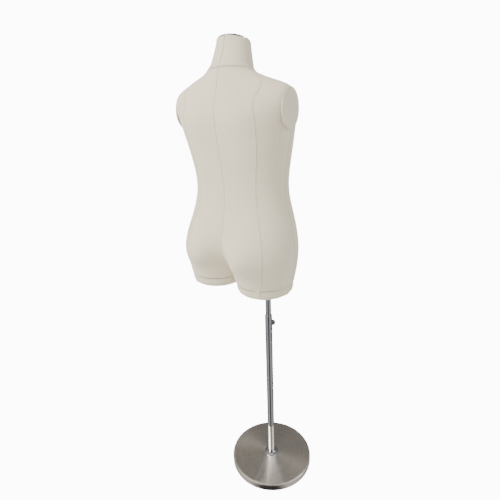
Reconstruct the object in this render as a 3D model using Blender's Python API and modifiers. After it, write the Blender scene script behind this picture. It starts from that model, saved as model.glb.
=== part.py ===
"""Dress form mannequin: a linen-covered torso on a telescopic chrome pole and a round brushed base.

Frame: metres, +Z up, origin on the floor under the pole's axis. The form faces -Y, and the pole
stands in its right thigh, so the body's mid-plane is at x = +BODY_X.
"""

import math

import bmesh
import bpy
import numpy as np
from mathutils import Matrix, Vector

# ---------------------------------------------------------------- driving dimensions
GAP = 0.0003  # clearance between touching pieces

BASE_R = 0.1524
BASE_TOP = 0.026
COVER_T = 0.0012
LINER_TOP = 0.0093
WEIGHT_R = 0.146
POLE_R = 0.0127
POLE_WALL = 0.0015
POLE_TOP = 0.640
MAST_R = 0.0100
MAST_WALL = 0.0012
MAST_BOTTOM = 0.100
CLAMP_Z = 0.598  # height of the thumb screw
BOLT_R = 0.005

BODY_X = 0.0984  # body's mid-plane, from the pole's axis
THIGH_BOTTOM = 0.7430
THIGH_ROUND = 0.020  # radius of the thigh ends' edge
SPLIT_Z = 0.7800  # the trunk's lowest section, where it parts into two thighs
NECK_SEAM_Z = 1.4140
ARM_PLANE = 0.1963  # the flat arm ends, from the mid-plane
SOCKET_TOP = 0.975

COVER_THICK = 0.0025
SHELL_INSET = 0.0042
SHELL_THICK = 0.004

# Sections of the body: height, half width, lobe offset, front depth, back depth, centre y,
# blend width and forward tilt in degrees. Each is two ovals, one lobe offset either side of the
# mid-plane, run together over the blend width.
SECTIONS = (
    (0.780, 0.190, 0.0965, 0.096, 0.102, 0.012, 0.015, 0),
    (0.830, 0.199, 0.093, 0.110, 0.120, 0.009, 0.040, 0),
    (0.900, 0.203, 0.084, 0.122, 0.134, 0.007, 0.060, 0),
    (0.980, 0.187, 0.068, 0.122, 0.112, 0.000, 0.070, 0),
    (1.070, 0.165, 0.058, 0.114, 0.096, -0.003, 0.070, 0),
    (1.160, 0.171, 0.060, 0.116, 0.104, -0.002, 0.070, 0),
    (1.240, 0.188, 0.066, 0.116, 0.112, 0.004, 0.070, 0),
    (1.300, 0.210, 0.072, 0.102, 0.107, 0.011, 0.070, 0),
    (1.340, 0.222, 0.070, 0.078, 0.093, 0.012, 0.070, 1),
    (1.373, 0.172, 0.050, 0.064, 0.075, 0.017, 0.060, 3),
    (1.403, 0.090, 0.022, 0.058, 0.058, 0.022, 0.040, 6),
    (1.424, 0.066, 0.008, 0.054, 0.052, 0.015, 0.030, 9),
    (1.454, 0.055, 0.003, 0.048, 0.044, 0.007, 0.030, 15),
    (1.488, 0.044, 0.000, 0.043, 0.041, 0.000, 0.030, 21),
)
# Swellings: x from the mid-plane, height, spread across, spread below, spread above, how far it
# stands out, and -1 for the front or +1 for the back.
SWELLINGS = (
    (0.086, 1.245, 0.058, 0.056, 0.080, 0.042, -1),  # bust
    (0.090, 0.870, 0.065, 0.045, 0.065, 0.030, +1),  # seat
    (0.080, 1.310, 0.050, 0.070, 0.050, 0.008, +1),  # shoulder blades
)
NECK_TOP = SECTIONS[-1][0]
COLUMNS = 32
CROTCH_POINTS = 3  # points along the line between the thighs, from back to front
TRUNK_HEIGHTS = (
    SPLIT_Z, 0.805, 0.840, 0.880, 0.925, 0.975, 1.025, 1.075, 1.125, 1.175,
    1.215, 1.255, 1.292, 1.325, 1.350, 1.370, 1.386, 1.401, NECK_SEAM_Z,
)


# ---------------------------------------------------------------- body surface
def cubic(xs, ys):
    """A natural cubic spline through the points, as a function."""
    xs, ys = np.asarray(xs, float), np.asarray(ys, float)
    count, step = len(xs), np.diff(xs)
    matrix, right = np.eye(count), np.zeros(count)
    for i in range(1, count - 1):
        matrix[i, i - 1 : i + 2] = [step[i - 1], 2 * (step[i - 1] + step[i]), step[i]]
        right[i] = 6 * ((ys[i + 1] - ys[i]) / step[i] - (ys[i] - ys[i - 1]) / step[i - 1])
    bend = np.linalg.solve(matrix, right)

    def at(x):
        i = int(np.clip(np.searchsorted(xs, x) - 1, 0, count - 2))
        t, h = x - xs[i], step[i]
        slope = (ys[i + 1] - ys[i]) / h - h * (2 * bend[i] + bend[i + 1]) / 6
        return ys[i] + t * slope + t * t * bend[i] / 2 + t**3 * (bend[i + 1] - bend[i]) / (6 * h)

    return at


SPLINES = [cubic([s[0] for s in SECTIONS], [s[i] for s in SECTIONS]) for i in range(1, 8)]


def soft_max(a, b, width):
    """The larger of two numbers, rounded over where they are about equal."""
    near = max(1 - abs(a - b) / width, 0)
    return max(a, b) + width * near * near / 4


def oval_reach(cos, sin, offset, half, depth):
    """How far a ray from the middle goes to the far side of an oval that stands off to one side."""
    p = (cos / half) ** 2 + (sin / depth) ** 2
    q = cos * offset / half**2
    return (q + math.sqrt(max(q * q - p * (offset**2 / half**2 - 1), 0))) / p


def trunk_point(angle, z):
    """A point on the body above the thighs. Angle 0 is the left side, and 90 degrees the back."""
    half, offset, front, back, centre, blend, tilt = (s(z) for s in SPLINES)
    cos, sin = math.cos(angle), math.sin(angle)
    depth = (front if sin < 0 else back) - blend / 4
    reach = soft_max(
        oval_reach(cos, sin, offset, half - offset, depth),
        oval_reach(-cos, sin, offset, half - offset, depth),
        blend,
    )
    x, y = reach * cos, reach * sin
    for x0, z0, across, below, above, proud, side in SWELLINGS:
        high = (z - z0) / (below if z < z0 else above)
        wide = (abs(x) - x0) / across
        y += side * proud * math.exp(-wide * wide - high * high) * max(side * sin, 0)
    if z > 1.12:
        x = math.copysign(-soft_max(-abs(x), -ARM_PLANE, 0.008), x)
    lean = math.radians(tilt)
    return Vector((BODY_X + x, centre + y * math.cos(lean), z + y * math.sin(lean)))


def thigh_section(z):
    """Lobe offset, half width, front and back depth of a thigh at height z."""
    half, offset, front, back, centre, blend, _ = (s(SPLIT_Z) for s in SPLINES)
    below = SPLIT_Z - z
    edge = max(THIGH_BOTTOM + THIGH_ROUND - z, 0)
    inset = THIGH_ROUND - math.sqrt(max(THIGH_ROUND**2 - edge**2, 0))
    return (
        offset + 0.03 * below,
        half - offset - 0.04 * below - inset,
        front - blend / 4 - 0.05 * below - inset,
        back - blend / 4 - 0.09 * below - inset,
        centre,
    )


def thigh_point(angle, z, side, inset=0.0):
    """A point on a thigh. Side is +1 for the left, and angle 0 its outer side."""
    offset, half, front, back, centre = thigh_section(z)
    depth = front if math.sin(angle) < 0 else back
    return Vector((
        BODY_X + side * (offset + (half - inset) * math.cos(angle)),
        centre + (depth - inset) * math.sin(angle),
        z,
    ))


def crotch_line():
    """Points from the back's middle to the front's, where the trunk parts into two thighs."""
    back, front = (trunk_point(math.radians(a), SPLIT_Z) for a in (90, 270))
    return [back.lerp(front, i / (CROTCH_POINTS + 1)) for i in range(1, CROTCH_POINTS + 1)]


def thigh_angles():
    """Angles of a thigh's points: round its outer side from front to back, then the crotch line."""
    offset, half, front, back, centre = thigh_section(SPLIT_Z)
    quarter = COLUMNS // 4
    outer = [trunk_point(2 * math.pi * i / COLUMNS, SPLIT_Z) for i in range(-quarter, quarter + 1)]
    angles = []
    for point in [*outer, *crotch_line()]:
        across = (point.x - BODY_X - offset) / half
        along = (point.y - centre) / (front if point.y < centre else back)
        angles.append(math.atan2(along, across))
    return angles


def thigh_outline(side, inset):
    """The thigh end's outline, this far inside its widest section."""
    z = THIGH_BOTTOM + THIGH_ROUND
    return [thigh_point(angle, z, side, inset).xy for angle in thigh_angles()]


def trunk_outline(z, inset, count=COLUMNS):
    """The trunk's outline at height z, this far inside its skin."""
    points = [trunk_point(2 * math.pi * i / count, z).xy for i in range(count)]
    outline = []
    for i, point in enumerate(points):
        along = (points[(i + 1) % count] - points[i - 1]).normalized()
        outline.append(point + Vector((-along.y, along.x)) * inset)
    return outline


def trunk_ring(bm, z, columns=COLUMNS):
    return [bm.verts.new(trunk_point(2 * math.pi * i / columns, z)) for i in range(columns)]


def bridge(bm, upper, lower):
    """Quads between two closed rings of as many points."""
    for i in range(len(upper)):
        j = (i + 1) % len(upper)
        bm.faces.new((upper[i], lower[i], lower[j], upper[j]))


def add_thigh(bm, rim, side, heights):
    """Carries the rim of one thigh down through these heights."""
    angles = thigh_angles()
    for z in heights:
        lower = [bm.verts.new(thigh_point(angle, z, side)) for angle in angles]
        bridge(bm, rim, lower)
        rim = lower


def body_mesh(heights, thigh_heights):
    """The body's skin as an open mesh, from its top ring down to the thigh ends."""
    bm = bmesh.new()
    rings = [trunk_ring(bm, z) for z in heights]
    for lower, upper in zip(rings, rings[1:]):
        bridge(bm, upper, lower)
    quarter = COLUMNS // 4
    crotch = [bm.verts.new(point) for point in crotch_line()]
    left = [rings[0][i] for i in range(-quarter, quarter + 1)]
    right = [rings[0][i] for i in range(3 * quarter, quarter - 1, -1)]
    add_thigh(bm, left + crotch, +1, thigh_heights)
    add_thigh(bm, right + crotch, -1, thigh_heights)
    bmesh.ops.recalc_face_normals(bm, faces=bm.faces)
    return bm


# ---------------------------------------------------------------- scene and helpers
def clear_scene():
    for old in list(bpy.data.objects):
        bpy.data.objects.remove(old, do_unlink=True)


def new_collection(name):
    made = bpy.data.collections.new(name)
    bpy.context.scene.collection.children.link(made)
    return made


def material(name, colour, roughness, metallic=0.0):
    made = bpy.data.materials.new(name)
    made.use_nodes = True
    shader = made.node_tree.nodes["Principled BSDF"]
    shader.inputs["Base Color"].default_value = (*colour, 1.0)
    shader.inputs["Roughness"].default_value = roughness
    shader.inputs["Metallic"].default_value = metallic
    return made


clear_scene()
PARTS = new_collection("dress_form")
CUTTERS = new_collection("cutters")
LINEN = material("linen", (0.66, 0.62, 0.53), 0.9)
GLASS_FIBRE = material("glass_fibre", (0.75, 0.73, 0.66), 0.7)
CHROME = material("chrome", (0.72, 0.73, 0.74), 0.12, 1.0)
BRUSHED = material("brushed_steel", (0.46, 0.43, 0.38), 0.38, 1.0)
STEEL = material("steel", (0.50, 0.50, 0.51), 0.4, 1.0)
IRON = material("cast_iron", (0.13, 0.13, 0.13), 0.7, 0.8)
RUBBER = material("rubber", (0.04, 0.04, 0.04), 0.85)
NYLON = material("nylon", (0.10, 0.10, 0.10), 0.5)
PLYWOOD = material("plywood", (0.55, 0.40, 0.24), 0.75)


def put(obj, name, stuff, collection=PARTS):
    """Names an object, gives it its material and moves it to its collection."""
    for home in list(obj.users_collection):
        home.objects.unlink(obj)
    collection.objects.link(obj)
    obj.name = name
    obj.data.name = name
    obj.data.materials.clear()
    obj.data.materials.append(stuff)
    return obj


def smooth(obj, degrees=35):
    obj.data.shade_smooth()
    obj.data.set_sharp_from_angle(angle=math.radians(degrees))
    return obj


def from_bmesh(bm, name, stuff):
    mesh = bpy.data.meshes.new(name)
    bm.to_mesh(mesh)
    bm.free()
    return put(bpy.data.objects.new(name, mesh), name, stuff)


def turned(name, stuff, profile, steps=32, place=Matrix.Identity(4)):
    """A closed profile of (radius, height) points, listed down its outer side, turned about Z."""
    mesh = bpy.data.meshes.new(name)
    count = len(profile)
    closed = all(radius > 0 for radius, _ in profile)
    edges = [(i, (i + 1) % count) for i in range(count if closed else count - 1)]
    mesh.from_pydata([(radius, 0, height) for radius, height in profile], edges, [])
    obj = put(bpy.data.objects.new(name, mesh), name, stuff)
    screw = obj.modifiers.new("Turn", "SCREW")
    screw.steps = screw.render_steps = steps
    screw.use_merge_vertices = True
    screw.merge_threshold = 0.00005
    screw.use_smooth_shade = False
    obj.matrix_world = place
    return obj


def tube(name, stuff, outer, inner, low, high, steps=32, place=Matrix.Identity(4)):
    profile = [(outer, high), (outer, low), (inner, low), (inner, high)]
    return turned(name, stuff, profile, steps, place)


def rod(name, stuff, radius, low, high, steps=20, place=Matrix.Identity(4), chamfer=0.0005):
    profile = [
        (0, high), (radius - chamfer, high), (radius, high - chamfer),
        (radius, low + chamfer), (radius - chamfer, low), (0, low),
    ]
    return turned(name, stuff, profile, steps, place)


def slab(name, stuff, outline, low, high, holes=()):
    """A flat board between two heights, from its outline and the outlines of its holes."""
    curve = bpy.data.curves.new(name, "CURVE")
    curve.dimensions = "2D"
    curve.fill_mode = "BOTH"
    curve.extrude = (high - low) / 2
    for points in (outline, *holes):
        spline = curve.splines.new("POLY")
        spline.points.add(len(points) - 1)
        for point, (x, y) in zip(spline.points, points):
            point.co = (x, y, 0, 1)
        spline.use_cyclic_u = True
    obj = put(bpy.data.objects.new(name, curve), name, stuff)
    obj.location.z = (low + high) / 2
    return obj


def circle(radius, count=32, centre=(0.0, 0.0)):
    return [
        (centre[0] + radius * math.cos(2 * math.pi * i / count),
         centre[1] + radius * math.sin(2 * math.pi * i / count))
        for i in range(count)
    ]


# ---------------------------------------------------------------- base
def make_base():
    pocket_r, pocket_floor = 0.017, 0.0015  # the pocket for the bolt's head
    liner_r, ease = 0.1498, 0.0006
    turned("base_liner", RUBBER, [
        (0, pocket_floor), (pocket_r, pocket_floor), (pocket_r, LINER_TOP), (liner_r - ease, LINER_TOP),
        (liner_r, LINER_TOP - ease), (liner_r, ease), (liner_r - ease, 0), (0, 0),
    ], 48)
    low, high = LINER_TOP + GAP, BASE_TOP - COVER_T - GAP
    turned("base_weight", IRON, [
        (WEIGHT_R - 0.001, high), (WEIGHT_R, high - 0.001), (WEIGHT_R, low + 0.001),
        (WEIGHT_R - 0.001, low), (BOLT_R + 0.0006, low), (BOLT_R + 0.0006, high),
    ], 48)
    corner = 0.005  # radius of the cover's edge
    arc = [math.radians(90 - 30 * i) for i in range(4)]
    outer = [
        (BASE_R - corner + corner * math.cos(a), BASE_TOP - corner + corner * math.sin(a)) for a in arc
    ]
    inner_r = corner - COVER_T
    inner = [
        (BASE_R - corner + inner_r * math.cos(a), BASE_TOP - corner + inner_r * math.sin(a))
        for a in reversed(arc)
    ]
    turned("base_cover", BRUSHED, [
        (BOLT_R + 0.001, BASE_TOP), *outer, (BASE_R, 0.0012), (BASE_R - COVER_T, 0.0012), *inner,
        (BOLT_R + 0.001, BASE_TOP - COVER_T),
    ], 64)
    tube("base_washer", STEEL, 0.014, BOLT_R + 0.0004, 0.0074, LINER_TOP)
    turned("base_bolt", STEEL, [
        (0, 0.046), (BOLT_R - 0.0006, 0.046), (BOLT_R, 0.0454), (BOLT_R, 0.0071),
        (0.0085, 0.0071), (0.0085, 0.0030), (0.0075, 0.0020), (0, 0.0020),
    ], 32)
    turned("pole_flange", CHROME, [
        (POLE_R + GAP, 0.0365), (0.0158, 0.0365), (0.0168, 0.0355), (0.0172, 0.0318),
        (0.0215, 0.0300), (0.0255, 0.0283), (0.0262, 0.0272), (0.0262, BASE_TOP + GAP),
        (POLE_R + GAP, BASE_TOP + GAP),
    ], 48)


# ---------------------------------------------------------------- pole
def make_pole():
    bore = POLE_R - POLE_WALL
    pole_low = BASE_TOP + GAP
    pole = tube("outer_tube", CHROME, POLE_R, bore, pole_low, POLE_TOP)
    towards = Matrix.Rotation(math.radians(90), 4, "X")  # local +Z now points along -Y
    at_clamp = Matrix.Translation((0, 0, CLAMP_Z)) @ towards
    drill = rod("clamp_hole_cutter", STEEL, 0.0034, 0.004, 0.030, 24, at_clamp)
    put(drill, "clamp_hole_cutter", STEEL, CUTTERS)
    drill.hide_render = True
    drill.display_type = "WIRE"
    tube("tube_end_plug", STEEL, bore - GAP, BOLT_R + GAP, pole_low, 0.052)
    bush = turned("guide_bush", NYLON, [
        (MAST_R + 0.0002, POLE_TOP + 0.0012), (POLE_R - 0.0012, POLE_TOP + 0.0012),
        (POLE_R - 0.0006, POLE_TOP + GAP), (bore - GAP, POLE_TOP + GAP),
        (bore - GAP, POLE_TOP - 0.045), (MAST_R + 0.0002, POLE_TOP - 0.045),
    ], 48)
    for drilled in (pole, bush):
        cut = drilled.modifiers.new("Clamp hole", "BOOLEAN")
        cut.operation = "DIFFERENCE"
        cut.object = drill
    turned("clamp_boss", CHROME, [
        (0.0034, 0.0185), (0.0060, 0.0185), (0.0070, 0.0175), (0.0070, POLE_R + 0.0008),
        (0.0034, POLE_R + 0.0008),
    ], 32, at_clamp)
    rod("clamp_pad", NYLON, 0.0028, MAST_R + GAP, POLE_R + 0.0002, 24, at_clamp, 0.0003)
    turned("thumb_stud", STEEL, [
        (0, 0.0305), (0.0026, 0.0305), (0.0030, 0.0300), (0.0030, POLE_R + 0.0010),
        (0.0026, POLE_R + 0.0006), (0, POLE_R + 0.0006),
    ], 24, at_clamp)
    make_knob(at_clamp)


def make_knob(place):
    """A fluted knob, bored for the stud."""
    lobes, per_lobe, radius, bite = 10, 4, 0.0086, 0.0007
    count = lobes * per_lobe
    outline = []
    for i in range(count):
        turn = 2 * math.pi * i / count
        reach = radius + bite * math.cos(lobes * turn)
        outline.append((reach * math.cos(turn), reach * math.sin(turn)))
    knob = slab("thumb_knob", CHROME, outline, 0.0200, 0.0310, [circle(0.0033, 24)])
    body = bpy.data.meshes.new_from_object(knob.evaluated_get(bpy.context.evaluated_depsgraph_get()))
    lift = Matrix.Translation((0, 0, 0.0255))
    bpy.data.objects.remove(knob)
    bm = bmesh.new()
    bm.from_mesh(body)
    bmesh.ops.remove_doubles(bm, verts=bm.verts, dist=0.00005)
    made = from_bmesh(bm, "thumb_knob", CHROME)
    made.matrix_world = place @ lift


# ---------------------------------------------------------------- mast and socket
def make_mast():
    mast_top = SOCKET_TOP - 0.007
    bore = MAST_R - MAST_WALL
    tube("inner_tube", CHROME, MAST_R, bore, MAST_BOTTOM, mast_top)
    pole_bore = POLE_R - POLE_WALL
    turned("tube_glide", NYLON, [
        (0, MAST_BOTTOM + 0.020), (bore - GAP, MAST_BOTTOM + 0.020), (bore - GAP, MAST_BOTTOM - GAP),
        (pole_bore - 0.0002, MAST_BOTTOM - GAP), (pole_bore - 0.0002, MAST_BOTTOM - 0.012),
        (pole_bore - 0.0010, MAST_BOTTOM - 0.013), (0, MAST_BOTTOM - 0.013),
    ], 32)
    turned("tube_top_plug", STEEL, [
        (0, mast_top + 0.003), (MAST_R - 0.001, mast_top + 0.003), (MAST_R, mast_top + 0.002),
        (MAST_R, mast_top + GAP), (bore - GAP, mast_top + GAP), (bore - GAP, mast_top - 0.020),
        (0, mast_top - 0.020),
    ], 32)
    socket_low = THIGH_BOTTOM - 0.004
    bore_r = MAST_R + 0.0003
    turned("socket_tube", STEEL, [
        (0, SOCKET_TOP), (0.0125, SOCKET_TOP), (0.0125, socket_low), (bore_r, socket_low),
        (bore_r, mast_top + 0.003 + GAP), (0, mast_top + 0.003 + GAP),
    ], 32)
    plate_top = THIGH_BOTTOM - GAP
    tube("socket_flange", STEEL, 0.032, 0.0125 + GAP, plate_top - 0.0025, plate_top, 48)
    flange = bpy.data.objects["socket_flange"]
    for i in range(3):
        turn = math.radians(30 + 120 * i)
        spot = Matrix.Translation((0.0225 * math.cos(turn), 0.0225 * math.sin(turn), 0))
        low, high = plate_top - 0.008, plate_top + 0.008
        hole = rod(f"flange_hole_cutter_{i + 1}", STEEL, 0.0024, low, high, 16, spot)
        put(hole, hole.name, STEEL, CUTTERS)
        hole.hide_render = True
        hole.display_type = "WIRE"
        cut = flange.modifiers.new(f"Hole {i + 1}", "BOOLEAN")
        cut.operation = "DIFFERENCE"
        cut.object = hole
        head_top = plate_top - 0.0025 - GAP
        turned(f"flange_screw_{i + 1}", STEEL, [
            (0, plate_top + GAP), (0.0020, plate_top + GAP), (0.0020, head_top), (0.0042, head_top),
            (0.0038, head_top - 0.0016), (0.0020, head_top - 0.0026), (0, head_top - 0.0028),
        ], 16, spot)


# ---------------------------------------------------------------- torso
def thicken(obj, thickness):
    solid = obj.modifiers.new("Thickness", "SOLIDIFY")
    solid.thickness = thickness
    solid.offset = -1.0
    solid.use_even_offset = False
    solid.use_rim = True
    return obj


def make_torso_skins():
    edge = [THIGH_BOTTOM + THIGH_ROUND * (1 - math.sin(math.radians(a))) for a in (0, 35, 65, 90)]
    cover = body_mesh(TRUNK_HEIGHTS, [0.768, *edge])
    smooth(thicken(from_bmesh(cover, "torso_cover", LINEN), COVER_THICK), 60)

    shell = body_mesh([*TRUNK_HEIGHTS, 1.432, 1.458, NECK_TOP - 0.001], [0.768, edge[0]])
    shell.normal_update()
    for vertex in shell.verts:
        vertex.co -= vertex.normal * SHELL_INSET
    smooth(thicken(from_bmesh(shell, "torso_shell", GLASS_FIBRE), SHELL_THICK), 60)

    neck = bmesh.new()
    rings = [trunk_ring(neck, z) for z in (NECK_SEAM_Z + 0.0006, 1.430, 1.449, 1.468, NECK_TOP)]
    for lower, upper in zip(rings, rings[1:]):
        bridge(neck, upper, lower)
    bmesh.ops.recalc_face_normals(neck, faces=neck.faces)
    smooth(thicken(from_bmesh(neck, "neck_cover", LINEN), COVER_THICK), 60)


def neck_solid(name, stuff, levels):
    """A solid along the neck: each level is a section's height, a lift along the neck and an inset."""
    bm = bmesh.new()
    lean = math.radians(SECTIONS[-1][7])
    up = Vector((0, -math.sin(lean), math.cos(lean)))
    rings = []
    for z, lift, inset in levels:
        points = [trunk_point(2 * math.pi * i / COLUMNS, z) for i in range(COLUMNS)]
        centre = sum(points, Vector()) / COLUMNS
        ring = []
        for point in points:
            inward = (centre - point).normalized() * inset
            ring.append(bm.verts.new(point + inward + up * lift))
        rings.append(ring)
    for lower, upper in zip(rings, rings[1:]):
        bridge(bm, upper, lower)
    bm.faces.new(rings[-1])
    bm.faces.new(rings[0][::-1])
    bmesh.ops.recalc_face_normals(bm, faces=bm.faces)
    return from_bmesh(bm, name, stuff)


def neck_axis():
    """The middle of the neck's top section, with local +Z along the neck."""
    points = [trunk_point(2 * math.pi * i / COLUMNS, NECK_TOP) for i in range(COLUMNS)]
    centre = sum(points, Vector()) / COLUMNS
    return Matrix.Translation(centre) @ Matrix.Rotation(math.radians(SECTIONS[-1][7]), 4, "X")


def make_neck():
    block = neck_solid("neck_block", PLYWOOD, [(1.456, 0, 0.0105), (NECK_TOP, -0.0004, 0.0095)])
    neck_solid("neck_cap", CHROME, [
        (NECK_TOP, 0.0005, 0.0002), (NECK_TOP, 0.0008, -0.0008), (NECK_TOP, 0.0040, -0.0008),
        (NECK_TOP, 0.0050, 0.0006), (NECK_TOP, 0.0054, 0.0040),
    ])
    drill = rod("neck_hole_cutter", STEEL, 0.0034, -0.060, 0.020, 24, neck_axis())
    put(drill, "neck_hole_cutter", STEEL, CUTTERS)
    drill.hide_render = True
    drill.display_type = "WIRE"
    cut = block.modifiers.new("Stud hole", "BOOLEAN")
    cut.operation = "DIFFERENCE"
    cut.object = drill
    rod("neck_cap_stud", STEEL, 0.0030, -0.022, 0.0002, 24, neck_axis())


def make_boards():
    hole = circle(0.0125 + GAP, 32)
    low = THIGH_BOTTOM + 0.004
    slab("thigh_board_right", PLYWOOD, thigh_outline(-1, 0.018), low, low + 0.012, [hole])
    slab("thigh_board_left", PLYWOOD, thigh_outline(+1, 0.018), low, low + 0.012)
    inner = THIGH_ROUND + 0.0032
    slab("thigh_cover_right", LINEN, thigh_outline(-1, inner), THIGH_BOTTOM, low - GAP, [hole])
    slab("thigh_cover_left", LINEN, thigh_outline(+1, inner), THIGH_BOTTOM, low - GAP)
    hip_z = 0.948
    slab("hip_board", PLYWOOD, trunk_outline(hip_z, 0.0165), hip_z - 0.006, hip_z + 0.006, [hole])
    for side, name in ((+1, "left"), (-1, "right")):
        plate = slab(f"arm_plate_{name}", LINEN, [
            (0.058 * math.cos(2 * math.pi * i / 36), 0.047 * math.sin(2 * math.pi * i / 36))
            for i in range(36)
        ], -0.0014, 0.0014)
        plate.rotation_euler = (0, math.radians(90), 0)
        plate.location = (BODY_X + side * (ARM_PLANE + 0.0003 + 0.0014), 0.016, 1.308)


make_base()
make_pole()
make_mast()
make_torso_skins()
make_neck()
make_boards()
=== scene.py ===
"""Looks of the dress form: linen cover with sewn panels, chrome pole, brushed base, studio and camera."""

import math

import bpy
import numpy as np
from mathutils import Matrix, Vector, noise


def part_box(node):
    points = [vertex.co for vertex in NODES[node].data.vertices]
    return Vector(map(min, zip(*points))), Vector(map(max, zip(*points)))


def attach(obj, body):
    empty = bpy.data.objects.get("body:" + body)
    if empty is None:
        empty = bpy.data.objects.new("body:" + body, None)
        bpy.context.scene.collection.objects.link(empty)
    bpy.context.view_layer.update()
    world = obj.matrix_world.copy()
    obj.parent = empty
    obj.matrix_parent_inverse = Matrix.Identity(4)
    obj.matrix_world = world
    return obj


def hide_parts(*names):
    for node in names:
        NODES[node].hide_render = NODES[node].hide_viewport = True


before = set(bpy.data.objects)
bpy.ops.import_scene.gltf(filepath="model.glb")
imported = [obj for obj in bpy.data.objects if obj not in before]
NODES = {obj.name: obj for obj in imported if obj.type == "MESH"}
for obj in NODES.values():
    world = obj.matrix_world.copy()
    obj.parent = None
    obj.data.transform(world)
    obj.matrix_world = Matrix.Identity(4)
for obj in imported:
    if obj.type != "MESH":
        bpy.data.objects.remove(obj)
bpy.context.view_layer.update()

# ---------------------------------------------------------------- the body's dimensions, as in the CAD
BODY_X = 0.0984
THIGH_ROUND = 0.020
SPLIT_Z = 0.7800
NECK_SEAM_Z = 1.4140
ARM_PLANE = 0.1963
THIGH_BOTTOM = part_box("torso_cover")[0].z
SECTIONS = (
    (0.780, 0.190, 0.0965, 0.096, 0.102, 0.012, 0.015, 0),
    (0.830, 0.199, 0.093, 0.110, 0.120, 0.009, 0.040, 0),
    (0.900, 0.203, 0.084, 0.122, 0.134, 0.007, 0.060, 0),
    (0.980, 0.187, 0.068, 0.122, 0.112, 0.000, 0.070, 0),
    (1.070, 0.165, 0.058, 0.114, 0.096, -0.003, 0.070, 0),
    (1.160, 0.171, 0.060, 0.116, 0.104, -0.002, 0.070, 0),
    (1.240, 0.188, 0.066, 0.116, 0.112, 0.004, 0.070, 0),
    (1.300, 0.210, 0.072, 0.102, 0.107, 0.011, 0.070, 0),
    (1.340, 0.222, 0.070, 0.078, 0.093, 0.012, 0.070, 1),
    (1.373, 0.172, 0.050, 0.064, 0.075, 0.017, 0.060, 3),
    (1.403, 0.090, 0.022, 0.058, 0.058, 0.022, 0.040, 6),
    (1.424, 0.066, 0.008, 0.054, 0.052, 0.015, 0.030, 9),
    (1.454, 0.055, 0.003, 0.048, 0.044, 0.007, 0.030, 15),
    (1.488, 0.044, 0.000, 0.043, 0.041, 0.000, 0.030, 21),
)
SWELLINGS = (
    (0.086, 1.245, 0.058, 0.056, 0.080, 0.042, -1),
    (0.090, 0.870, 0.065, 0.045, 0.065, 0.030, +1),
    (0.080, 1.310, 0.050, 0.070, 0.050, 0.008, +1),
)
NECK_TOP = SECTIONS[-1][0]

# Seams, by angle round the body: sides, back princess, centre back, front princess, centre front.
SEAMS = (0, 33, 90, 147, 180, 240, 270, 300)
# Columns either side of a seam, in degrees, and how far the cloth stands proud there, in metres.
SEAM_STEPS = ((0.28, -0.0005), (0.7, 0.0002), (1.5, 0.0005), (2.8, 0.0003))
SEAM_DEPTH = 0.0008
COLUMN_STEP = 4.0
RING_STEP = 0.0055
CLOTH = 0.0015
# Relief of the stretched linen, in metres: slow waves, puckers, gathers over the hems, folds under the neck.
WAVE = 0.00035
PUCKER = 0.0011
GATHER = 0.0022
COLLAR_FOLD = 0.0005
# The neck seam: how deep the cloth sinks into it and how far that reaches up and down.
SEAM_SINK = 0.0012
SEAM_FALL = 0.003
SEAM_SPREAD = 5.0  # degrees either side of a seam that its puckers reach
NECK_SEAMS = (90, 270)
NECK_RINGS = 22
END_CLOTH = 0.0012


# ---------------------------------------------------------------- body surface
def cubic(xs, ys):
    """A natural cubic spline through the points, as a function of an array."""
    xs, ys = np.asarray(xs, float), np.asarray(ys, float)
    count, step = len(xs), np.diff(xs)
    matrix, right = np.eye(count), np.zeros(count)
    for i in range(1, count - 1):
        matrix[i, i - 1 : i + 2] = [step[i - 1], 2 * (step[i - 1] + step[i]), step[i]]
        right[i] = 6 * ((ys[i + 1] - ys[i]) / step[i] - (ys[i] - ys[i - 1]) / step[i - 1])
    bend = np.linalg.solve(matrix, right)

    def at(x):
        i = np.clip(np.searchsorted(xs, x) - 1, 0, count - 2)
        t, h = x - xs[i], step[i]
        slope = (ys[i + 1] - ys[i]) / h - h * (2 * bend[i] + bend[i + 1]) / 6
        return ys[i] + t * slope + t * t * bend[i] / 2 + t**3 * (bend[i + 1] - bend[i]) / (6 * h)

    return at


SPLINES = [cubic([s[0] for s in SECTIONS], [s[i] for s in SECTIONS]) for i in range(1, 8)]


def soft_max(a, b, width):
    """The larger of two numbers, with the corner between them rounded over width."""
    near = np.maximum(1 - np.abs(a - b) / width, 0)
    return np.maximum(a, b) + width * near * near / 4


def oval_reach(cos, sin, offset, half, depth):
    """How far a ray from the middle goes before it leaves an ellipse set off to one side."""
    p = (cos / half) ** 2 + (sin / depth) ** 2
    q = cos * offset / half**2
    return (q + np.sqrt(np.maximum(q * q - p * (offset**2 / half**2 - 1), 0))) / p


def trunk(angle, z):
    """Points of the body above the thighs. Angle 0 is the left side, and 90 degrees the back."""
    half, offset, front, back, centre, blend, tilt = (s(z) for s in SPLINES)
    cos, sin = np.cos(angle), np.sin(angle)
    depth = np.where(sin < 0, front, back) - blend / 4
    reach = soft_max(
        oval_reach(cos, sin, offset, half - offset, depth),
        oval_reach(-cos, sin, offset, half - offset, depth),
        blend,
    )
    x, y = reach * cos, reach * sin
    for x0, z0, across, below, above, proud, side in SWELLINGS:
        high = (z - z0) / np.where(z < z0, below, above)
        wide = (np.abs(x) - x0) / across
        y = y + side * proud * np.exp(-wide * wide - high * high) * np.maximum(side * sin, 0)
    flat = np.copysign(-soft_max(-np.abs(x), -ARM_PLANE, 0.008), x)
    x = np.where(z > 1.12, flat, x)
    lean = np.radians(tilt)
    return np.stack([BODY_X + x, centre + y * np.cos(lean), z + y * np.sin(lean)], -1)


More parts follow.
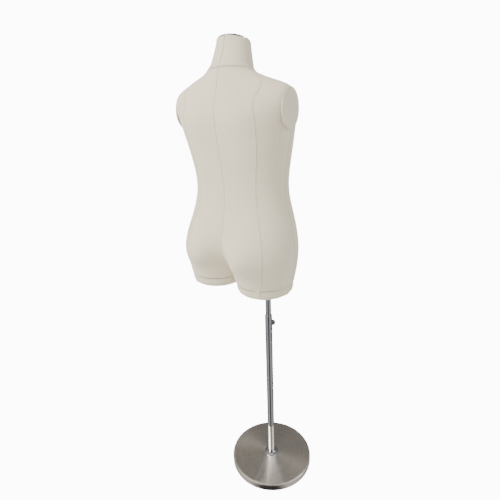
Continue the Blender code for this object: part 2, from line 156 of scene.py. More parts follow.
def thigh_section(z):
    """Lobe offset, half width, front and back depth, and centre, of a thigh at height z."""
    half, offset, front, back, centre, blend, _ = (float(s(np.array(SPLIT_Z))) for s in SPLINES)
    below = SPLIT_Z - z
    edge = max(THIGH_BOTTOM + THIGH_ROUND - z, 0)
    inset = THIGH_ROUND - math.sqrt(max(THIGH_ROUND**2 - edge**2, 0))
    return (
        offset + 0.03 * below,
        half - offset - 0.04 * below - inset,
        front - blend / 4 - 0.05 * below - inset,
        back - blend / 4 - 0.09 * below - inset,
        centre,
    )


def thigh(angle, z, side, inset=0.0):
    """Points of a thigh. Side is +1 for the left, and angle 0 its outer side."""
    offset, half, front, back, centre = thigh_section(z)
    depth = np.where(np.sin(angle) < 0, front, back)
    x = BODY_X + side * (offset + (half - inset) * np.cos(angle))
    return np.stack([x, centre + (depth - inset) * np.sin(angle), np.full_like(angle, z)], -1)


def smoothstep(low, high, x):
    """Rises smoothly from 0 at low to 1 at high."""
    t = np.clip((x - low) / (high - low), 0, 1)
    return t * t * (3 - 2 * t)


# ---------------------------------------------------------------- grid of the sewn cover
def column_plan():
    """Angles of the columns, each with its seam relief and its closeness to a seam."""
    angles, relief, near = [], [], []
    for i, seam in enumerate(SEAMS):
        after = SEAMS[(i + 1) % len(SEAMS)] + (360 if i == len(SEAMS) - 1 else 0)
        last = SEAM_STEPS[-1][0]
        span = after - seam - 2 * last
        count = max(int(round(span / COLUMN_STEP)), 2)
        rows = [(seam, -SEAM_DEPTH, 1.0)]
        rows += [(seam + a, proud, math.exp(-((a / 0.6) ** 2))) for a, proud in SEAM_STEPS]
        rows += [(seam + last + span * k / count, 0.0, 0.0) for k in range(1, count)]
        rows += [(after - a, proud, math.exp(-((a / 0.6) ** 2))) for a, proud in reversed(SEAM_STEPS)]
        for a, proud, close in rows:
            angles.append(math.radians(a))
            relief.append(proud)
            near.append(close)
    return np.array(angles), np.array(relief), np.array(near)


def drifted(angles, z):
    """The columns' angles at height z: towards the neck the princess seams drift to the shoulder."""
    lift = float(smoothstep(1.315, 1.400, z))
    degrees = np.degrees(angles) % 360
    anchors = (*SEAMS, 360)
    moved = (0, 33 - 19 * lift, 90, 147 + 19 * lift, 180, 240 - 30 * lift, 270, 300 + 30 * lift, 360)
    return np.radians(np.interp(degrees, anchors, moved))


ANGLES, RELIEF, NEAR = column_plan()
COLUMNS = len(ANGLES)
SEAM_COLUMN = [int(np.argmin(np.abs(ANGLES - math.radians(s)))) for s in SEAMS]
CROTCH_POINTS = 13


def mesh_object(name, points, faces, uvs, seam):
    """A mesh with a weave UV map in metres and a seam closeness on each point, which the linen turns into
    painted shade.
    """
    mesh = bpy.data.meshes.new(name)
    mesh.from_pydata([tuple(p) for p in points], [], faces)
    layer = mesh.uv_layers.new(name="weave")
    flat = [c for corner in uvs for c in corner]
    layer.data.foreach_set("uv", flat)
    mark = mesh.attributes.new("seam", "FLOAT", "POINT")
    mark.data.foreach_set("value", np.asarray(seam, np.float32))
    mesh.shade_smooth()
    made = bpy.data.objects.new(name, mesh)
    bpy.context.scene.collection.objects.link(made)
    return made


class Cover:
    """Collects rings of points and the faces between them."""

    def __init__(self):
        self.points, self.seam, self.faces, self.uvs = [], [], [], []
        self.press = []

    def ring(self, points, seam, press):
        start = len(self.points)
        self.points += [np.asarray(p, float) for p in points]
        # Seam values: how much painted shade the linen gets at each point.
        self.seam += list(seam)
        self.press += list(press)
        return list(range(start, start + len(points)))

    def strip(self, upper, lower, breaks, flip=False):
        """Quads between two rings. The weave's u starts afresh at each break, as panels do."""
        count = len(upper)
        cuts = sorted(breaks) or [0]
        for k, first in enumerate(cuts):
            last = cuts[(k + 1) % len(cuts)]
            run = (last - first) % count or count
            where = [(first + j) % count for j in range(run + 1)]
            self._panel([upper[i] for i in where], [lower[i] for i in where], flip)

    def _panel(self, up, down, flip):
        u_up, u_down = self._along(up), self._along(down)
        for j in range(len(up) - 1):
            quad = [up[j], down[j], down[j + 1], up[j + 1]]
            across = [u_up[j], u_down[j], u_down[j + 1], u_up[j + 1]]
            order = (3, 2, 1, 0) if flip else (0, 1, 2, 3)
            self.faces.append([quad[o] for o in order])
            self.uvs += [(across[o], self._height(quad[o])) for o in order]

    def _along(self, run):
        points = np.array([self.points[i] for i in run])
        step = np.linalg.norm(np.diff(points, axis=0), axis=1)
        along = np.concatenate([[0], np.cumsum(step)])
        return along - along[-1] / 2

    def _height(self, index):
        return self.points[index][2]

    def build(self, name):
        """Pushes every point out along its normal by its relief, and makes the mesh."""
        made = mesh_object(name, self.points, self.faces, self.uvs, self.seam)
        normals = np.zeros(len(made.data.vertices) * 3)
        made.data.vertices.foreach_get("normal", normals)
        normals = normals.reshape(-1, 3)
        moved = np.array(self.points) + normals * np.array(self.press)[:, None]
        made.data.vertices.foreach_set("co", moved.astype(np.float32).ravel())
        made.data.update()
        return made


def wrinkles(points, closeness):
    """Small relief of stretched linen: slow waves, puckers by the seams and gathers at the hems."""
    out = np.zeros(len(points))
    for i, p in enumerate(points):
        spot = Vector(p)
        out[i] += WAVE * noise.noise(spot * 14)
        pucker = noise.noise(Vector((p[0] * 12, p[1] * 12, p[2] * 75)))
        out[i] += PUCKER * pucker * (0.15 + closeness[i])
        hem = 1 - smoothstep(0.745, 0.850, p[2])
        gather = noise.noise(Vector((p[0] * 75, p[1] * 75, p[2] * 9)))
        out[i] += GATHER * gather * hem * (0.35 + closeness[i])
        collar = smoothstep(1.385, 1.425, p[2])
        out[i] += COLLAR_FOLD * noise.noise(Vector((p[0] * 70, p[1] * 70, p[2] * 12))) * collar
    return out


def spread_seam():
    """How near each column is to a seam, from 1 on it, falling off over SEAM_SPREAD."""
    away = np.full(COLUMNS, 360.0)
    for seam in SEAMS:
        gap = np.abs((np.degrees(ANGLES) - seam + 180) % 360 - 180)
        away = np.minimum(away, gap)
    return np.exp(-((away / SEAM_SPREAD) ** 2))


def crotch_line():
    """Points from back to front along the line where the two thighs part."""
    back, front = trunk(np.radians([90.0, 270.0]), np.array([SPLIT_Z, SPLIT_Z]))
    t = np.linspace(0, 1, CROTCH_POINTS + 2)[1:-1, None]
    return back + (front - back) * t


def make_torso_cover():
    """The sewn cover from the neck seam down to both thigh ends, in one mesh."""
    cover = Cover()
    wide = spread_seam()
    count = int(round((NECK_SEAM_Z - SPLIT_Z) / RING_STEP))
    rings = []
    for k in range(count + 1):
        z = SPLIT_Z + (NECK_SEAM_Z - SPLIT_Z) * k / count
        points = trunk(drifted(ANGLES, z), np.full(COLUMNS, z))
        edge = math.exp(-(((NECK_SEAM_Z - z) / SEAM_FALL) ** 2))
        press = RELIEF + wrinkles(points, wide) - SEAM_SINK * edge
        # Painted shade by the seams and along the neck seam.
        dark = np.maximum(NEAR, edge)
        rings.append(cover.ring(points, dark, press))
    for lower, upper in zip(rings, rings[1:]):
        cover.strip(upper, lower, SEAM_COLUMN, flip=True)
    crotch = crotch_line()
    # Painted shade where the two thighs part.
    crotch_ids = cover.ring(crotch, np.full(len(crotch), 0.6), np.zeros(len(crotch)))
    back, front = SEAM_COLUMN[SEAMS.index(90)], SEAM_COLUMN[SEAMS.index(270)]
    left = [(front + j) % COLUMNS for j in range((back - front) % COLUMNS + 1)]
    right = [(front - j) % COLUMNS for j in range((front - back) % COLUMNS + 1)]
    for side, columns in ((+1, left), (-1, right)):
        make_thigh(cover, rings[0], crotch_ids, columns, side, wide)
    return cover.build("torso_linen")


def make_thigh(cover, split, crotch_ids, columns, side, wide):
    """Carries one thigh down from the split to its rounded end."""
    rim = [split[i] for i in columns] + crotch_ids
    offset, half, front, back, centre = thigh_section(SPLIT_Z)
    rim_points = np.array([cover.points[i] for i in rim])
    across = side * (rim_points[:, 0] - BODY_X) - offset
    along = rim_points[:, 1] - centre
    angles = np.arctan2(along / np.where(along < 0, front, back), across / half)
    inner = len(crotch_ids)
    relief = np.concatenate([RELIEF[columns], np.zeros(inner)])
    relief[[0, len(columns) - 1]] = 0
    # Painted shade by the seams, none along the crotch side.
    near = np.concatenate([NEAR[columns], np.zeros(inner)])
    near[[0, len(columns) - 1]] = 0
    close = np.concatenate([wide[columns], np.zeros(inner)])
    breaks = [k for k, c in enumerate(columns) if c in SEAM_COLUMN]
    levels = [SPLIT_Z - 0.0045 * k for k in range(1, 4)]
    turn = np.radians(np.arange(0, 91, 11.25))
    levels += list(THIGH_BOTTOM + THIGH_ROUND * (1 - np.sin(turn)))
    for z in levels:
        points = thigh(angles, z, side)
        fade = smoothstep(THIGH_BOTTOM, THIGH_BOTTOM + 0.006, z)
        press = (relief + wrinkles(points, close)) * fade - 0.0008 * (1 - fade)
        # Painted shade by the seams and along the thigh's bottom edge.
        dark = np.maximum(near, 1 - smoothstep(THIGH_BOTTOM, THIGH_BOTTOM + 0.002, z))
        lower = cover.ring(points, dark, press)
        cover.strip(rim, lower, breaks, flip=side < 0)
        rim = lower


def make_neck_cover():
    """The separate piece round the neck, with its seams at the back and front."""
    cover = Cover()
    near = np.zeros(COLUMNS)
    relief = np.zeros(COLUMNS)
    for seam in NECK_SEAMS:
        gap = np.abs((np.degrees(ANGLES) - seam + 180) % 360 - 180)
        near = np.maximum(near, np.exp(-((gap / 1.2) ** 2)))
        relief += np.interp(gap, [0, 0.9, 2.2, 5], [-0.0011, -0.0003, 0.0004, 0])
    low, high = NECK_SEAM_Z + 0.0006, NECK_TOP - 0.0002
    rings = []
    for k in range(NECK_RINGS + 1):
        z = low + (high - low) * k / NECK_RINGS
        points = trunk(ANGLES, np.full(COLUMNS, z))
        edge = math.exp(-(((z - low) / SEAM_FALL) ** 2))
        lip = math.exp(-(((high - z) / 0.0025) ** 2))
        folds = np.array([noise.noise(Vector((p[0] * 55, p[1] * 55, p[2] * 14))) for p in points])
        press = relief + folds * 0.0004 - SEAM_SINK * edge - 0.0010 * lip
        # Painted shade by the back and front seams and along the neck seam.
        rings.append(cover.ring(points, np.maximum(near, edge), press))
    breaks = [SEAM_COLUMN[SEAMS.index(seam)] for seam in NECK_SEAMS]
    for lower, upper in zip(rings, rings[1:]):
        cover.strip(upper, lower, breaks, flip=True)
    return cover.build("neck_linen")


def finish_cloth(obj, thickness=CLOTH):
    """Rounds the mesh and gives the cloth its thickness, inwards."""
    sub = obj.modifiers.new("Smooth", "SUBSURF")
    sub.levels = sub.render_levels = 1
    solid = obj.modifiers.new("Cloth", "SOLIDIFY")
    solid.thickness = thickness
    solid.offset = -1.0
    solid.use_rim = True
    return obj


# ---------------------------------------------------------------- flat covered ends
def disc(name, outline, normal, rings, hole, puff, seed):
    """A covered board end: rings from its outline inwards, crowned a little, round a hole if it has one."""
    outline = np.asarray(outline, float)
    centre = outline.mean(0) if hole is None else np.asarray(hole[0], float)
    normal = np.asarray(normal, float)
    points, faces, uvs, seam = [], [], [], []
    count = len(outline)
    axis_u = np.cross(normal, [0.0, 1.0, 0.0]) if abs(normal[1]) < 0.5 else np.array([1.0, 0, 0])
    axis_u /= np.linalg.norm(axis_u)
    axis_v = np.cross(normal, axis_u)
    for k, t in enumerate(rings):
        for j, rim in enumerate(outline):
            inner = centre
            if hole is not None:
                way = (rim - centre) / np.linalg.norm(rim - centre)
                inner = centre + way * hole[1]
            spot = rim + (inner - rim) * t
            crown = puff * (1 - (1 - min(t * 4, 1)) ** 2) - 0.0008 * math.exp(-((t / 0.012) ** 2))
            pucker = noise.noise(Vector((j * 0.9, seed, t * 3))) * 0.0005 * math.exp(-t * 7)
            points.append(spot + normal * (crown + pucker))
            # Painted shade round the rim, where the end meets the thigh.
            seam.append(math.exp(-((t / 0.02) ** 2)))
    if hole is None:
        points.append(centre + normal * puff)
        seam.append(0.0)

    def uv(i):
        rel = points[i] - centre
        return float(rel @ axis_u), float(rel @ axis_v)

    for k in range(len(rings) - 1):
        for j in range(count):
            nxt = (j + 1) % count
            face = [k * count + j, (k + 1) * count + j, (k + 1) * count + nxt, k * count + nxt]
            faces.append(face)
            uvs += [uv(i) for i in face]
    if hole is None:
        base = (len(rings) - 1) * count
        for j in range(count):
            face = [base + j, len(points) - 1, base + (j + 1) % count]
            faces.append(face)
            uvs += [uv(i) for i in face]
    made = mesh_object(name, points, faces, uvs, seam)
    first = made.data.polygons[0].normal
    if first.dot(Vector(normal)) < 0:
        made.data.flip_normals()
    return made


def make_thigh_ends():
    """Covered ends under the thighs. The right one has a hole for the socket on the pole."""
    made = []
    turns = np.radians(np.arange(0, 360, 3.0))
    rings = (0, 0.006, 0.015, 0.03, 0.06, 0.12, 0.2, 0.32, 0.46, 0.62, 0.8, 1.0)
    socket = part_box("socket_tube")
    hole_r = (socket[1].x - socket[0].x) / 2 + 0.0006
    for side, name in ((+1, "left"), (-1, "right")):
        outline = thigh(turns, THIGH_BOTTOM + THIGH_ROUND, side, THIGH_ROUND + 0.0004)
        outline[:, 2] = THIGH_BOTTOM + 0.0011
        hole = ((0.0, 0.0, THIGH_BOTTOM + 0.0011), hole_r) if side < 0 else None
        piece = disc(f"thigh_linen_{name}", outline, (0, 0, -1), rings[:-1] if hole is None else rings,
                     hole, puff=0.0008, seed=side)
        made.append(finish_cloth(piece, END_CLOTH))
        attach(piece, "torso")
        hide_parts(f"thigh_cover_{name}")
    return made


def make_arm_plates():
    """Oval boards padded and covered in linen, with a piped edge, over the arm openings."""
    made = []
    turns = np.radians(np.arange(0, 360, 5.0))
    for side, name in ((+1, "left"), (-1, "right")):
        low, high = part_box(f"arm_plate_{name}")
        middle = (low + high) / 2
        half_y, half_z = (high.y - low.y) / 2, (high.z - low.z) / 2
        back_x = low.x if side > 0 else high.x
        cover = Cover()
        profile = [(-0.0040, 0.90), (-0.0028, 0.925), (-0.0016, 0.935), (-0.0006, 0.925), (0.0001, 0.90),
                   (0.0007, 0.85), (0.0012, 0.74), (0.0016, 0.56), (0.0018, 0.36), (0.0019, 0.16)]
        rings = []
        for out, scale in profile:
            points = []
            for turn in turns:
                wobble = 1 + 0.004 * noise.noise(Vector((turn * 4, out * 300, side)))
                points.append((
                    back_x + side * out,
                    middle.y + half_y * scale * wobble * math.cos(turn),
                    middle.z + half_z * scale * wobble * math.sin(turn),
                ))
            # Painted shade, at half strength, on the edge that turns in behind the plate.
            rings.append(cover.ring(points, np.full(len(points), 0.5 if out < 0 else 0.0),
                                    np.zeros(len(points))))
        for outer, inner in zip(rings, rings[1:]):
            cover.strip(outer, inner, [0], flip=side < 0)
        crown = profile[-1][0]
        middle_id = cover.ring([(back_x + side * crown, middle.y, middle.z)], [0], [0])[0]
        for j in range(len(turns)):
            nxt = (j + 1) % len(turns)
            face = [rings[-1][j], middle_id, rings[-1][nxt]]
            cover.faces.append(face if side > 0 else face[::-1])
        flat_uv(cover)
        piece = cover.build(f"arm_linen_{name}")
        finish_cloth(piece, END_CLOTH)
        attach(piece, "torso")
        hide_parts(f"arm_plate_{name}")
        made.append(piece)
    return made


def flat_uv(cover):
    """Sets a plate's weave straight across and up it, instead of round its rings."""
    cover.uvs = [(cover.points[i][1], cover.points[i][2]) for face in cover.faces for i in face]


# ---------------------------------------------------------------- materials
class Nodes:
    """Short names for building a shader's node tree."""

    def __init__(self, name):
        self.material = bpy.data.materials.new(name)
        self.material.use_nodes = True
        self.tree = self.material.node_tree
        self.shader = self.tree.nodes["Principled BSDF"]

    def add(self, kind, **values):
        made = self.tree.nodes.new(kind)
        for key, value in values.items():
            setattr(made, key, value)
        return made

    def link(self, source, target):
        self.tree.links.new(source, target)

    def feed(self, socket, value):
        if isinstance(value, bpy.types.NodeSocket):
            self.link(value, socket)
        else:
            socket.default_value = value

    def math(self, operation, a, b=0.0, clamp=False):
        made = self.add("ShaderNodeMath", operation=operation, use_clamp=clamp)
        self.feed(made.inputs[0], a)
        self.feed(made.inputs[1], b)
        return made.outputs[0]

    def combine(self, x, y, z=0.0):
        made = self.add("ShaderNodeCombineXYZ")
        for socket, value in zip(made.inputs, (x, y, z)):
            self.feed(socket, value)
        return made.outputs[0]

    def separate(self, vector):
        made = self.add("ShaderNodeSeparateXYZ")
        self.link(vector, made.inputs[0])
        return made.outputs

    def noise(self, vector, scale, detail=2.0, rough=0.5):
        made = self.add("ShaderNodeTexNoise")
        self.link(vector, made.inputs["Vector"])
        made.inputs["Scale"].default_value = scale
        made.inputs["Detail"].default_value = detail
        made.inputs["Roughness"].default_value = rough
        return made.outputs["Fac"]

    def mix(self, factor, a, b):
        made = self.add("ShaderNodeMix", data_type="RGBA")
        self.feed(made.inputs["Factor"], factor)
        self.feed(made.inputs["A"], a)
        self.feed(made.inputs["B"], b)
        return made.outputs["Result"]

    def span(self, value, low, high, to_low, to_high):
        made = self.add("ShaderNodeMapRange")
        self.link(value, made.inputs["Value"])
        for key, number in zip(("From Min", "From Max", "To Min", "To Max"), (low, high, to_low, to_high)):
            made.inputs[key].default_value = number
        return made.outputs["Result"]

    def bump(self, height, distance, strength):
        made = self.add("ShaderNodeBump")
        self.link(height, made.inputs["Height"])
        made.inputs["Distance"].default_value = distance
        made.inputs["Strength"].default_value = strength
        return made.outputs["Normal"]

    def place(self):
        return self.add("ShaderNodeTexCoord").outputs["Object"]

    def set(self, **sockets):
        for key, value in sockets.items():
            self.feed(self.shader.inputs[key.replace("_", " ")], value)


def rgba(colour):
    return (*colour, 1.0)


THREAD_LIGHT = (0.80, 0.705, 0.520)
THREAD_DARK = (0.56, 0.475, 0.325)
SLUB = (0.85, 0.78, 0.63)
MOTTLE = (0.62, 0.55, 0.41)
FLECK = (0.36, 0.29, 0.20)
# Colour of the painted shade along seams and where pieces meet.
SEAM_SHADE = (0.40, 0.355, 0.28)


def linen_material():
    """Plain-weave linen: threads over and under, slubs along both ways, faint mottling, and painted shade
    along the seams.
    """
    n = Nodes("linen_weave")
    pitch = 0.0009
    wander_by = 0.0012
    place = n.place()
    uv = n.add("ShaderNodeUVMap", uv_map="weave").outputs["UV"]
    u, v, _ = n.separate(uv)
    wander = n.noise(uv, 55, 1)
    u_bent = n.math("ADD", u, n.math("MULTIPLY", wander, wander_by))
    v_bent = n.math("ADD", v, n.math("MULTIPLY", n.noise(place, 48, 1), wander_by))
    warp = n.math("SINE", n.math("MULTIPLY", u_bent, math.pi / pitch))
    weft = n.math("SINE", n.math("MULTIPLY", v_bent, math.pi / pitch))
    warp_up, weft_up = n.math("ABSOLUTE", warp), n.math("ABSOLUTE", weft)
    crossing = n.math("MULTIPLY", warp, weft)
    over = n.span(crossing, -0.4, 0.4, 0.55, 1.0)
    under = n.span(crossing, -0.4, 0.4, 1.0, 0.55)
    height = n.math("MAXIMUM", n.math("MULTIPLY", warp_up, over), n.math("MULTIPLY", weft_up, under))
    across = n.noise(n.combine(n.math("MULTIPLY", u, 14), n.math("MULTIPLY", v, 620)), 1.0, 3, 0.7)
    upward = n.noise(n.combine(n.math("MULTIPLY", u, 620), n.math("MULTIPLY", v, 14), 5.0), 1.0, 3, 0.7)
    slub = n.math("MAXIMUM", across, upward)
    slub_light = n.span(slub, 0.52, 0.80, 0.0, 1.0)
    mottle = n.noise(place, 7, 3)
    fleck = n.span(n.noise(place, 260, 2, 0.7), 0.68, 0.78, 0.0, 1.0)
    thread = n.span(height, 0.15, 0.85, 0.35, 0.0)
    colour = n.mix(thread, rgba(THREAD_LIGHT), rgba(THREAD_DARK))
    colour = n.mix(n.math("MULTIPLY", slub_light, 0.40), colour, rgba(SLUB))
    colour = n.mix(n.span(mottle, 0.35, 0.7, 0.0, 0.20), colour, rgba(MOTTLE))
    colour = n.mix(n.math("MULTIPLY", fleck, 0.35), colour, rgba(FLECK))
    # Painted shade: the seam attribute darkens the linen by the seams, where pieces meet and where the
    # thighs part.
    seam = n.add("ShaderNodeAttribute", attribute_name="seam").outputs["Fac"]
    colour = n.mix(n.math("MULTIPLY", seam, 0.30, clamp=True), colour, rgba(SEAM_SHADE))
    relief = n.math("ADD", height, n.math("MULTIPLY", slub, 1.3))
    n.set(
        Base_Color=colour,
        Roughness=n.span(slub, 0.3, 0.8, 0.96, 0.82),
        Normal=n.bump(relief, 0.00028, 0.8),
        Sheen_Weight=0.18,
        Sheen_Roughness=0.45,
        Specular_IOR_Level=0.25,
    )
    return n.material


def chrome_material(name="chrome_plate", colour=(0.60, 0.61, 0.62), low=0.05, high=0.13,
                    stretch=(1, 1, 0.05)):
    """Polished plate: faint draw lines along the tube, smudges and a few fine specks."""
    n = Nodes(name)
    place = n.place()
    x, y, z = n.separate(place)
    drawn = n.combine(*(n.math("MULTIPLY", s, k) for s, k in zip((x, y, z), stretch)))
    lines = n.noise(drawn, 900, 2, 0.6)
    smudge = n.noise(place, 26, 4, 0.6)
    speck = n.span(n.noise(place, 800, 1), 0.76, 0.80, 0.0, 1.0)
    base = n.mix(n.span(smudge, 0.3, 0.7, 0.0, 0.35), rgba(colour), rgba([c * 0.86 for c in colour]))
    base = n.mix(n.math("MULTIPLY", speck, 0.5), base, rgba((0.22, 0.21, 0.20)))
    rough = n.math("ADD", n.span(smudge, 0.3, 0.75, low, high), n.math("MULTIPLY", speck, 0.3))
    n.set(Base_Color=base, Metallic=1.0, Roughness=rough, Normal=n.bump(lines, 0.00002, 0.5))
    return n.material


def ringed_material(name="brushed_base", colour=(0.86, 0.79, 0.68)):
    """Spun steel, brushed in fine rings round the pole, with scuffs towards the rim."""
    n = Nodes(name)
    place = n.place()
    x, y, z = n.separate(place)
    radius = n.math("SQRT", n.math("ADD", n.math("MULTIPLY", x, x), n.math("MULTIPLY", y, y)))
    around = n.math("ARCTAN2", y, x)
    fine = n.combine(n.math("MULTIPLY", radius, 2600), n.math("MULTIPLY", around, 2.0), z)
    rings = n.noise(fine, 1.0, 3, 0.7)
    broad = n.noise(n.combine(n.math("MULTIPLY", radius, 240), around, 3.0), 1.0, 2, 0.6)
    scuff = n.span(n.noise(place, 90, 5, 0.75), 0.60, 0.72, 0.0, 1.0)
    worn = n.math("MULTIPLY", scuff, n.span(radius, 0.10, 0.15, 0.1, 0.8))
    base = n.mix(n.span(rings, 0.3, 0.7, 0.0, 1.0), rgba([c * 0.88 for c in colour]), rgba(colour))
    base = n.mix(n.span(broad, 0.3, 0.7, 0.0, 0.35), base, rgba([min(c * 1.12, 1) for c in colour]))
    base = n.mix(n.math("MULTIPLY", worn, 0.30), base, rgba([c * 0.6 for c in colour]))
    rough = n.math("ADD", n.span(rings, 0.3, 0.7, 0.26, 0.38), n.math("MULTIPLY", worn, 0.12))
    n.set(
        Base_Color=base,
        Metallic=1.0,
        Roughness=rough,
        Anisotropic=0.65,
        Normal=n.bump(rings, 0.00004, 0.7),
    )
    tangent = n.add("ShaderNodeTangent", direction_type="RADIAL", axis="Z")
    n.link(tangent.outputs[0], n.shader.inputs["Tangent"])
    return n.material


def grained_material(name, colour, roughness, metallic=0.0, scale=180, depth=0.00008, vary=0.25,
                     specular=0.4):
    """A moulded, cast or plated surface: fine grain, mottled colour and roughness, worn spots."""
    n = Nodes(name)
    place = n.place()
    grain = n.noise(place, scale * 6, 3, 0.65)
    patch = n.noise(place, scale / 6, 4, 0.6)
    wear = n.span(n.noise(place, scale, 4, 0.7), 0.62, 0.72, 0.0, 1.0)
    base = n.mix(n.span(patch, 0.3, 0.7, 0.0, 1.0), rgba(colour), rgba([c * (1 - vary) for c in colour]))
    base = n.mix(n.math("MULTIPLY", wear, 0.3), base, rgba([min(c * 1.6 + 0.03, 1) for c in colour]))
    n.set(
        Base_Color=base,
        Metallic=metallic,
        Roughness=n.span(patch, 0.3, 0.7, roughness * 0.85, min(roughness * 1.12, 1)),
        Specular_IOR_Level=specular,
        Normal=n.bump(grain, depth, 0.7),
    )
    return n.material


def plywood_material(name="birch_plywood"):
    """Birch ply: long grain on the faces and thin plies at the edges."""
    n = Nodes(name)
    place = n.place()
    x, y, z = n.separate(place)
    grain = n.noise(n.combine(n.math("MULTIPLY", x, 8), n.math("MULTIPLY", y, 190), z), 1.0, 4, 0.7)
    plies = n.math("SINE", n.math("MULTIPLY", z, 2 * math.pi / 0.003))
    base = n.mix(n.span(grain, 0.3, 0.7, 0.0, 1.0), rgba((0.58, 0.42, 0.25)), rgba((0.70, 0.54, 0.34)))
    base = n.mix(n.span(plies, -0.2, 0.9, 0.0, 0.35), base, rgba((0.40, 0.26, 0.14)))
    n.set(Base_Color=base, Roughness=n.span(grain, 0.3, 0.7, 0.6, 0.78), Normal=n.bump(grain, 0.0001, 0.6))
    return n.material


def knurl_material():
    """Chrome with its lines turned round the part."""
    return chrome_material("turned_chrome", low=0.10, high=0.2, stretch=(1, 0.1, 1))


EDGE_BEVEL = 0.00025
SHARP_FROM = math.radians(30)


def dress(names, material):
    """Gives CAD nodes a material in place of their own."""
    for name in names:
        slots = NODES[name].data.materials
        slots.clear()
        slots.append(material)


def smooth_nodes(names):
    """Rounds the shading of turned parts and catches light on their edges."""
    for name in names:
        obj = NODES[name]
        bevel = obj.modifiers.new("Edge", "BEVEL")
        bevel.width = EDGE_BEVEL
        bevel.segments = 2
        bevel.limit_method = "ANGLE"
        bevel.angle_limit = math.radians(40)
        obj.data.shade_smooth()
        obj.data.set_sharp_from_angle(angle=SHARP_FROM)


# ---------------------------------------------------------------- studio
SKY = 12.0  # brightness of the backdrop as the camera sees it, well past white
AMBIENT = 0.85  # brightness of the surroundings as cloth sees them
MIRROR = 1.4  # and as polished metal sees them, times FLAGS
FLOOR_LIT = 1.1  # brightness that the lights alone give the floor
KEY_POWER = 150
RIM_POWER = 22
WHITE = (0.98, 0.985, 1.0, 1.0)
# Turn about the pole, from 0 to 1, and brightness of the studio in that direction.
FLAGS = ((0.0, 0.50), (0.10, 0.28), (0.25, 0.12), (0.34, 0.10), (0.45, 0.15), (0.55, 0.35),
         (0.66, 0.50), (0.745, 0.62), (0.80, 0.05), (0.865, 0.04), (0.91, 0.60), (1.0, 0.50))


def area_light(name, place, aim, width, height, power, colour=(1, 1, 1)):
    light = bpy.data.lights.new(name, "AREA")
    light.shape = "RECTANGLE"
    light.size, light.size_y = width, height
    light.energy = power
    light.color = colour
    obj = bpy.data.objects.new(name, light)
    obj.location = place
    obj.rotation_euler = (Vector(aim) - Vector(place)).to_track_quat("-Z", "Y").to_euler()
    bpy.context.scene.collection.objects.link(obj)


def make_lights():
    area_light("key", (1.2, 2.2, 2.9), (0.1, 0, 1.15), 1.2, 1.2, KEY_POWER, (1, 0.985, 0.95))
    area_light("rim", (-2.2, -0.6, 2.0), (0.1, 0, 1.0), 0.8, 1.8, RIM_POWER, (0.97, 0.985, 1))
    make_world()


def flag_shades(tree, way):
    """What polished metal mirrors: light panels with dark flags between them, by direction."""
    parts = tree.nodes.new("ShaderNodeSeparateXYZ")
    tree.links.new(way, parts.inputs[0])
    around = tree.nodes.new("ShaderNodeMath")
    around.operation = "ARCTAN2"
    tree.links.new(parts.outputs["Y"], around.inputs[0])
    tree.links.new(parts.outputs["X"], around.inputs[1])
    turn = tree.nodes.new("ShaderNodeMapRange")
    tree.links.new(around.outputs[0], turn.inputs["Value"])
    turn.inputs["From Min"].default_value = -math.pi
    turn.inputs["From Max"].default_value = math.pi
    ramp = tree.nodes.new("ShaderNodeValToRGB")
    tree.links.new(turn.outputs["Result"], ramp.inputs["Fac"])
    while len(ramp.color_ramp.elements) < len(FLAGS):
        ramp.color_ramp.elements.new(0.5)
    for element, (place, bright) in zip(ramp.color_ramp.elements, FLAGS):
        element.position = place
        element.color = (bright, bright, bright * 1.02, 1)
    return ramp.outputs["Color"]


def mix_shader(tree, factor, a, b):
    made = tree.nodes.new("ShaderNodeMixShader")
    for socket, source in zip(made.inputs, (factor, a, b)):
        tree.links.new(source, socket)
    return made.outputs[0]


def glow(tree, kind, strength, colour):
    """A background or emission shader, of one colour or of a linked one."""
    made = tree.nodes.new(kind)
    made.inputs["Strength"].default_value = strength
    if isinstance(colour, bpy.types.NodeSocket):
        tree.links.new(colour, made.inputs["Color"])
    else:
        made.inputs["Color"].default_value = colour
    return made.outputs[0]


def make_world():
    """Soft white on cloth, white to the eye, and panels and flags to polished metal."""
    world = bpy.data.worlds.new("studio")
    bpy.context.scene.world = world
    world.use_nodes = True
    tree = world.node_tree
    tree.nodes.clear()
    way = tree.nodes.new("ShaderNodeTexCoord").outputs["Generated"]
    rays = tree.nodes.new("ShaderNodeLightPath").outputs
    mirror = glow(tree, "ShaderNodeBackground", MIRROR, flag_shades(tree, way))
    cloth = glow(tree, "ShaderNodeBackground", AMBIENT, WHITE)
    eye = glow(tree, "ShaderNodeBackground", SKY, WHITE)
    lit = mix_shader(tree, rays["Is Glossy Ray"], cloth, mirror)
    seen = mix_shader(tree, rays["Is Camera Ray"], lit, eye)
    out = tree.nodes.new("ShaderNodeOutputWorld")
    tree.links.new(seen, out.inputs["Surface"])


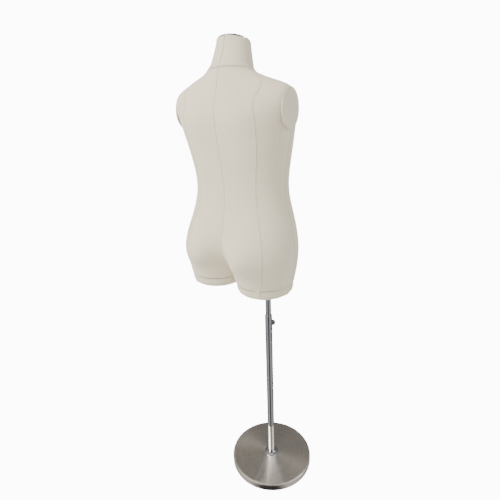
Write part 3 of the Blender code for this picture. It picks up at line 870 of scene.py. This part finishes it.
def make_floor():
    """A pale sweep. To the camera it glows past white, which hides shadows; metal sees the flags on it."""
    bpy.ops.mesh.primitive_circle_add(vertices=96, radius=30, fill_type="NGON", location=(0, 0, 0))
    floor = bpy.context.object
    floor.name = "studio_floor"
    n = Nodes("studio_floor")
    n.set(Base_Color=rgba((0.90, 0.90, 0.90)), Roughness=0.9, Specular_IOR_Level=0.1)
    tree = n.tree
    rays = tree.nodes.new("ShaderNodeLightPath").outputs
    lift = tree.nodes.new("ShaderNodeAddShader")
    tree.links.new(n.shader.outputs[0], lift.inputs[0])
    tree.links.new(glow(tree, "ShaderNodeEmission", SKY - FLOOR_LIT, WHITE), lift.inputs[1])
    mirror = glow(tree, "ShaderNodeEmission", 1.0, flag_shades(tree, n.place()))
    cloth = mix_shader(tree, rays["Is Glossy Ray"], n.shader.outputs[0], mirror)
    seen = mix_shader(tree, rays["Is Camera Ray"], cloth, lift.outputs[0])
    out = next(node for node in tree.nodes if node.type == "OUTPUT_MATERIAL")
    tree.links.new(seen, out.inputs["Surface"])
    floor.data.materials.append(n.material)


AZIMUTH = math.radians(213.64)
CAMERA_AWAY = 1.18  # from the pole's axis
CAMERA_HIGH = 1.31
PITCH, YAW, ROLL = math.radians(20), math.radians(-2.68), math.radians(-2.19)
LENS = 27.9


def make_camera():
    camera = bpy.data.cameras.new("camera")
    camera.sensor_width = 36
    camera.lens = LENS
    obj = bpy.data.objects.new("camera", camera)
    bpy.context.scene.collection.objects.link(obj)
    right = Vector((math.cos(AZIMUTH), math.sin(AZIMUTH), 0))
    away = Vector((-math.sin(AZIMUTH), math.cos(AZIMUTH), 0))
    up = Vector((0, 0, 1))
    look = right * math.sin(YAW) * math.cos(PITCH) + away * math.cos(YAW) * math.cos(PITCH)
    look -= up * math.sin(PITCH)
    level = right * math.cos(YAW) - away * math.sin(YAW)
    above = level.cross(look)
    x_axis = level * math.cos(ROLL) + above * math.sin(ROLL)
    y_axis = above * math.cos(ROLL) - level * math.sin(ROLL)
    turn = Matrix((x_axis, y_axis, -look)).transposed().to_4x4()
    obj.matrix_world = Matrix.Translation(-away * CAMERA_AWAY + up * CAMERA_HIGH) @ turn
    bpy.context.scene.camera = obj


# ---------------------------------------------------------------- assembly
make_camera()
make_lights()
make_floor()

LINEN = linen_material()
torso = finish_cloth(make_torso_cover())
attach(torso, "torso")
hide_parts("torso_cover")
neck = finish_cloth(make_neck_cover())
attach(neck, "torso")
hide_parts("neck_cover")
ends = make_thigh_ends()
plates = make_arm_plates()
for piece in (torso, neck, *ends, *plates):
    piece.data.materials.append(LINEN)

CHROME = chrome_material()
dress(["outer_tube", "inner_tube", "neck_cap"], CHROME)
dress(["pole_flange", "clamp_boss", "thumb_knob"], knurl_material())
dress(["base_cover"], ringed_material())
dress(["base_weight"], grained_material("cast_iron", (0.10, 0.10, 0.10), 0.6, 0.6, 120, 0.0003))
dress(["base_liner"], grained_material("rubber_liner", (0.035, 0.035, 0.035), 0.85, 0, 150, 0.0001))
dress(["guide_bush", "clamp_pad", "tube_glide"],
      grained_material("nylon_grey", (0.23, 0.235, 0.24), 0.45, 0, 240, 0.00003, 0.12))
dress(["base_bolt", "base_washer", "tube_end_plug", "thumb_stud", "tube_top_plug", "socket_tube",
       "socket_flange", "flange_screw_1", "flange_screw_2", "flange_screw_3", "neck_cap_stud"],
      grained_material("zinc_plated", (0.56, 0.56, 0.57), 0.36, 1.0, 200, 0.00003, 0.2))
dress(["torso_shell"], grained_material("glass_fibre", (0.66, 0.64, 0.56), 0.7, 0, 60, 0.0003, 0.12))
dress(["hip_board", "thigh_board_left", "thigh_board_right", "neck_block"], plywood_material())
smooth_nodes(["outer_tube", "inner_tube", "neck_cap", "pole_flange", "clamp_boss", "base_cover",
              "base_liner", "guide_bush", "thumb_knob", "socket_tube", "socket_flange"])
